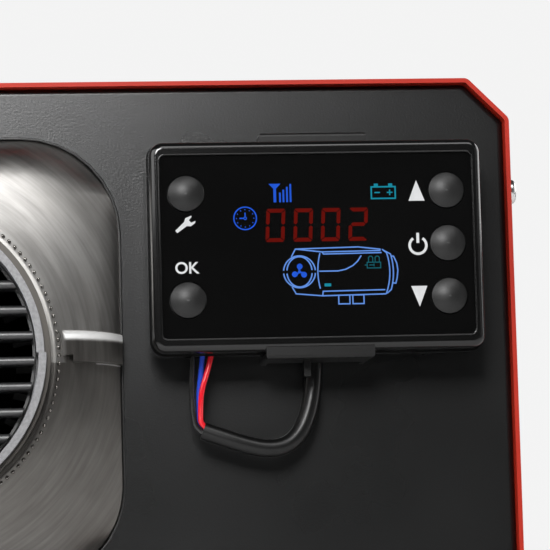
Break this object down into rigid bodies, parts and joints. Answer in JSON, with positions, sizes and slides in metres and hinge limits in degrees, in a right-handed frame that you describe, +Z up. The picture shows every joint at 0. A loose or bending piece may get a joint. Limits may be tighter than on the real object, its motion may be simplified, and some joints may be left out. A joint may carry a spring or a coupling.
{
  "type": "indirect-fired diesel heater",
  "caption": "Portable diesel air heater in a folded steel case, with a moulded hot-air outlet behind a louvre, a push-button screen controller, a fuel tank inside and a folding handle.",
  "frame": {"origin": "on the floor, in the middle of the overall box", "axes": "+X to the right seen from the front, +Y to the back, +Z up; the front looks along -Y"},
  "size_m": [0.3044, 0.46, 0.388],
  "materials": {
    "case_red": "satin powder coat",
    "panel_black": "fine-texture powder coat",
    "steel_plain": "zinc plated",
    "screw_steel": "plated",
    "shell_grey": "satin moulded",
    "grille_black": "glossy moulded",
    "casting": "as cast",
    "stainless": "drawn tube",
    "motor_can": "plated",
    "fan_black": "moulded",
    "rubber_black": "matt",
    "tank_plastic": "blow moulded",
    "cap_black": "moulded",
    "control_black": "satin moulded",
    "bracket_black": "moulded",
    "lens_black": "polished",
    "display": "screen",
    "board_green": "solder mask",
    "button_black": "satin moulded",
    "wire_black": "insulated wire",
    "wire_blue": "insulated wire",
    "wire_red": "insulated wire",
    "sleeve_black": "soft sleeve",
    "brass": "turned"
  },
  "bodies": {
    "case": {"case_shell": "case_red", "base_tray": "panel_black", "front_panel": "panel_black", "rear_panel": "panel_black", "inlet_guard": "bracket_black", "rubber_feet": "rubber_black", "case_screws": "screw_steel", "handle_brackets": "panel_black", "heater_upper_shell": "shell_grey", "heater_lower_shell": "shell_grey", "outlet_grille": "grille_black", "inlet_hood": "fan_black", "heat_exchanger": "casting", "burner_tube": "stainless", "glow_plug": "brass", "combustion_housing": "casting", "blower_motor": "motor_can", "control_unit": "bracket_black", "heater_shelf": "steel_plain", "base_gasket": "rubber_black", "base_nuts": "steel_plain", "exhaust_pipe": "stainless", "exhaust_clamps": "steel_plain", "muffler": "stainless", "tail_pipe": "stainless", "intake_hose": "rubber_black", "intake_filter": "fan_black", "fuel_tank": "tank_plastic", "filler_neck": "tank_plastic", "neck_collar": "rubber_black", "tank_strap": "steel_plain", "fuel_filter": "tank_plastic", "fuel_pump": "motor_can", "pump_clamp": "rubber_black", "fuel_hoses": "rubber_black", "controller_bracket": "bracket_black", "controller_back": "control_black", "controller_frame": "control_black", "controller_lens": "lens_black", "display_module": "display", "controller_pcb": "board_green", "tact_switches": "bracket_black", "lead_sleeve": "sleeve_black", "panel_grommet": "rubber_black", "power_gland": "bracket_black", "lead_wire_black": "wire_black", "lead_wire_blue": "wire_blue", "lead_wire_red": "wire_red"},
    "handle": {"handle_bail": "screw_steel", "handle_grip": "rubber_black"},
    "rotor": {"motor_shaft": "steel_plain", "combustion_impeller": "fan_black", "hot_air_fan": "fan_black"},
    "cap_seal": {"cap_seal": "rubber_black"},
    "fuel_cap": {"fuel_cap": "cap_black"},
    "button_menu": {"button_menu": "button_black"},
    "button_ok": {"button_ok": "button_black"},
    "button_up": {"button_up": "button_black"},
    "button_power": {"button_power": "button_black"},
    "button_down": {"button_down": "button_black"}
  },
  "joints": [
    {"name": "handle_fold", "type": "hinge", "parent": "case", "child": "handle", "pos_m": [0, 0, 0.3725], "axis": [0, 1, 0], "range_deg": [0, 90]},
    {"name": "blower_spin", "type": "hinge", "parent": "case", "child": "rotor", "pos_m": [-0.0595, 0.09, 0.266], "axis": [0, 1, 0], "continuous": true},
    {"name": "cap_lift", "type": "slide", "parent": "case", "child": "cap_seal", "axis": [0, 0, 1], "range_m": [0, 0.008]},
    {"name": "cap_turn", "type": "hinge", "parent": "cap_seal", "child": "fuel_cap", "pos_m": [0.092, 0.049, 0.375], "axis": [0, 0, 1], "range_deg": [0, 720]},
    {"name": "button_menu_press", "type": "slide", "parent": "case", "child": "button_menu", "axis": [0, 1, 0], "range_m": [0, 0.001], "stiffness_N_per_m": 800, "springref_m": -0.0005},
    {"name": "button_ok_press", "type": "slide", "parent": "case", "child": "button_ok", "axis": [0, 1, 0], "range_m": [0, 0.001], "stiffness_N_per_m": 800, "springref_m": -0.0005},
    {"name": "button_up_press", "type": "slide", "parent": "case", "child": "button_up", "axis": [0, 1, 0], "range_m": [0, 0.001], "stiffness_N_per_m": 800, "springref_m": -0.0005},
    {"name": "button_power_press", "type": "slide", "parent": "case", "child": "button_power", "axis": [0, 1, 0], "range_m": [0, 0.001], "stiffness_N_per_m": 800, "springref_m": -0.0005},
    {"name": "button_down_press", "type": "slide", "parent": "case", "child": "button_down", "axis": [0, 1, 0], "range_m": [0, 0.001], "stiffness_N_per_m": 800, "springref_m": -0.0005}
  ],
  "couplings": [
    {"joint": "cap_turn", "follows": "cap_lift", "rad_per_m": 1570.8}
  ]
}
